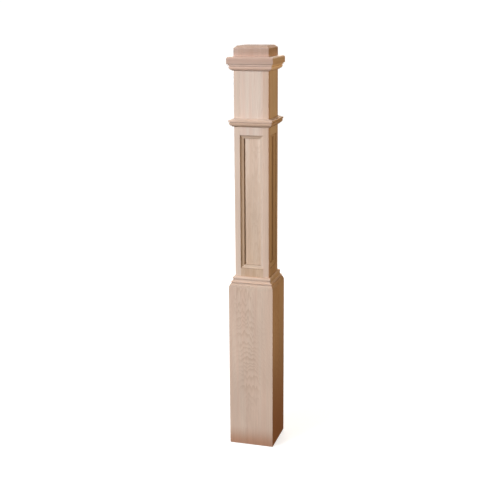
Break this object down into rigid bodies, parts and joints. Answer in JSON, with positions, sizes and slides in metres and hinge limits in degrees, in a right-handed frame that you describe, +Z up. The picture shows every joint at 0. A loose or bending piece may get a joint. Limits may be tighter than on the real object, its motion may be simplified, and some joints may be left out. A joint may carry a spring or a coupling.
{
  "type": "newel post",
  "caption": "Hollow square box newel post with framed flat panels, a wider boxed base, mitred mouldings at base, neck and cap, and a solid block on top.",
  "frame": {"origin": "on the floor, at the centre of the square base", "axes": "+Z up along the post, -Y out of the front face, +X out of the right face"},
  "size_m": [0.159, 0.159, 1.4056],
  "materials": {
    "shaft_wood": "bare sanded hardwood, pale pinkish beige, fine straight grain",
    "panel_wood": "bare sanded hardwood, pale beige, soft flat-sawn figure",
    "moulding_wood": "bare machined hardwood moulding, pinkish beige",
    "base_wood": "bare sanded hardwood, pinkish beige, strong flat-sawn cathedral grain",
    "cap_wood": "bare sanded hardwood, slightly darker pinkish brown"
  },
  "bodies": {
    "root": {"base_board_front": "base_wood", "base_board_right": "base_wood", "base_board_back": "base_wood", "base_board_left": "base_wood", "base_moulding_front": "moulding_wood", "base_moulding_right": "moulding_wood", "base_moulding_back": "moulding_wood", "base_moulding_left": "moulding_wood", "bottom_rail_front": "shaft_wood", "bottom_rail_right": "shaft_wood", "bottom_rail_back": "shaft_wood", "bottom_rail_left": "shaft_wood", "corner_stile_front_right": "shaft_wood", "corner_stile_right_back": "shaft_wood", "corner_stile_back_left": "shaft_wood", "corner_stile_left_front": "shaft_wood", "upper_board_front": "shaft_wood", "upper_board_right": "shaft_wood", "upper_board_back": "shaft_wood", "upper_board_left": "shaft_wood", "panel_front": "panel_wood", "panel_right": "panel_wood", "panel_back": "panel_wood", "panel_left": "panel_wood", "panel_moulding_front_bottom": "moulding_wood", "panel_moulding_front_right": "moulding_wood", "panel_moulding_front_top": "moulding_wood", "panel_moulding_front_left": "moulding_wood", "panel_moulding_right_bottom": "moulding_wood", "panel_moulding_right_right": "moulding_wood", "panel_moulding_right_top": "moulding_wood", "panel_moulding_right_left": "moulding_wood", "panel_moulding_back_bottom": "moulding_wood", "panel_moulding_back_right": "moulding_wood", "panel_moulding_back_top": "moulding_wood", "panel_moulding_back_left": "moulding_wood", "panel_moulding_left_bottom": "moulding_wood", "panel_moulding_left_right": "moulding_wood", "panel_moulding_left_top": "moulding_wood", "panel_moulding_left_left": "moulding_wood", "neck_moulding_front": "moulding_wood", "neck_moulding_right": "moulding_wood", "neck_moulding_back": "moulding_wood", "neck_moulding_left": "moulding_wood", "cap_moulding_front": "cap_wood", "cap_moulding_right": "cap_wood", "cap_moulding_back": "cap_wood", "cap_moulding_left": "cap_wood", "cap_block": "cap_wood"}
  },
  "joints": []
}
